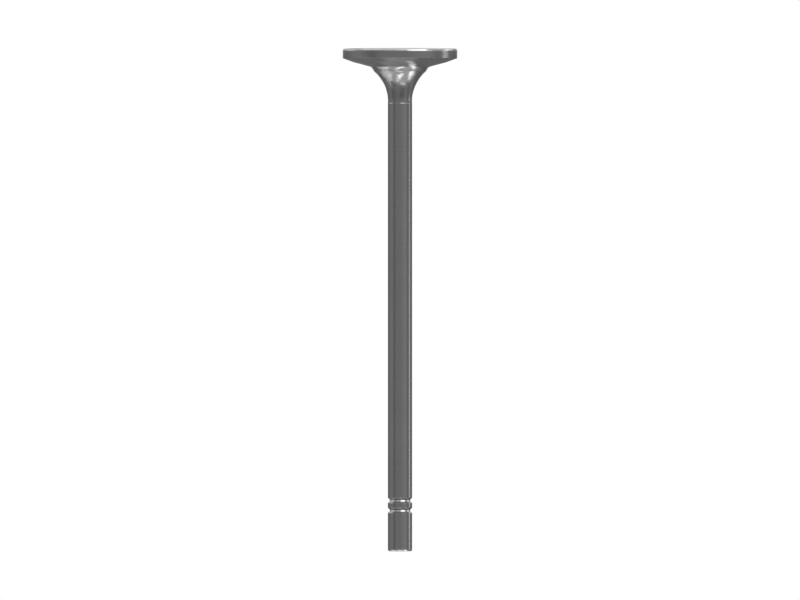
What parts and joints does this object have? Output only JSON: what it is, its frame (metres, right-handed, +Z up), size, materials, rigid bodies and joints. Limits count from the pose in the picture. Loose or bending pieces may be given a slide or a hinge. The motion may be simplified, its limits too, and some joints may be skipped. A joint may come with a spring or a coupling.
{
  "type": "engine valve",
  "caption": "One-piece steel poppet valve: flat round head with a conical seat face, concave neck, long ground stem and keeper grooves near the tip.",
  "frame": {"origin": "centre of the flat combustion face of the head, on which the valve stands", "axes": "+Z up along the stem, from the head to the tip; X and Y lie in the combustion face, and the valve is the same all round"},
  "size_m": [0.0378, 0.0376, 0.1654],
  "materials": {
    "valve_steel": "dark grey nitrided steel, satin, ground stem, turned head, edges rubbed bright"
  },
  "bodies": {
    "root": {"valve": "valve_steel"}
  },
  "joints": []
}
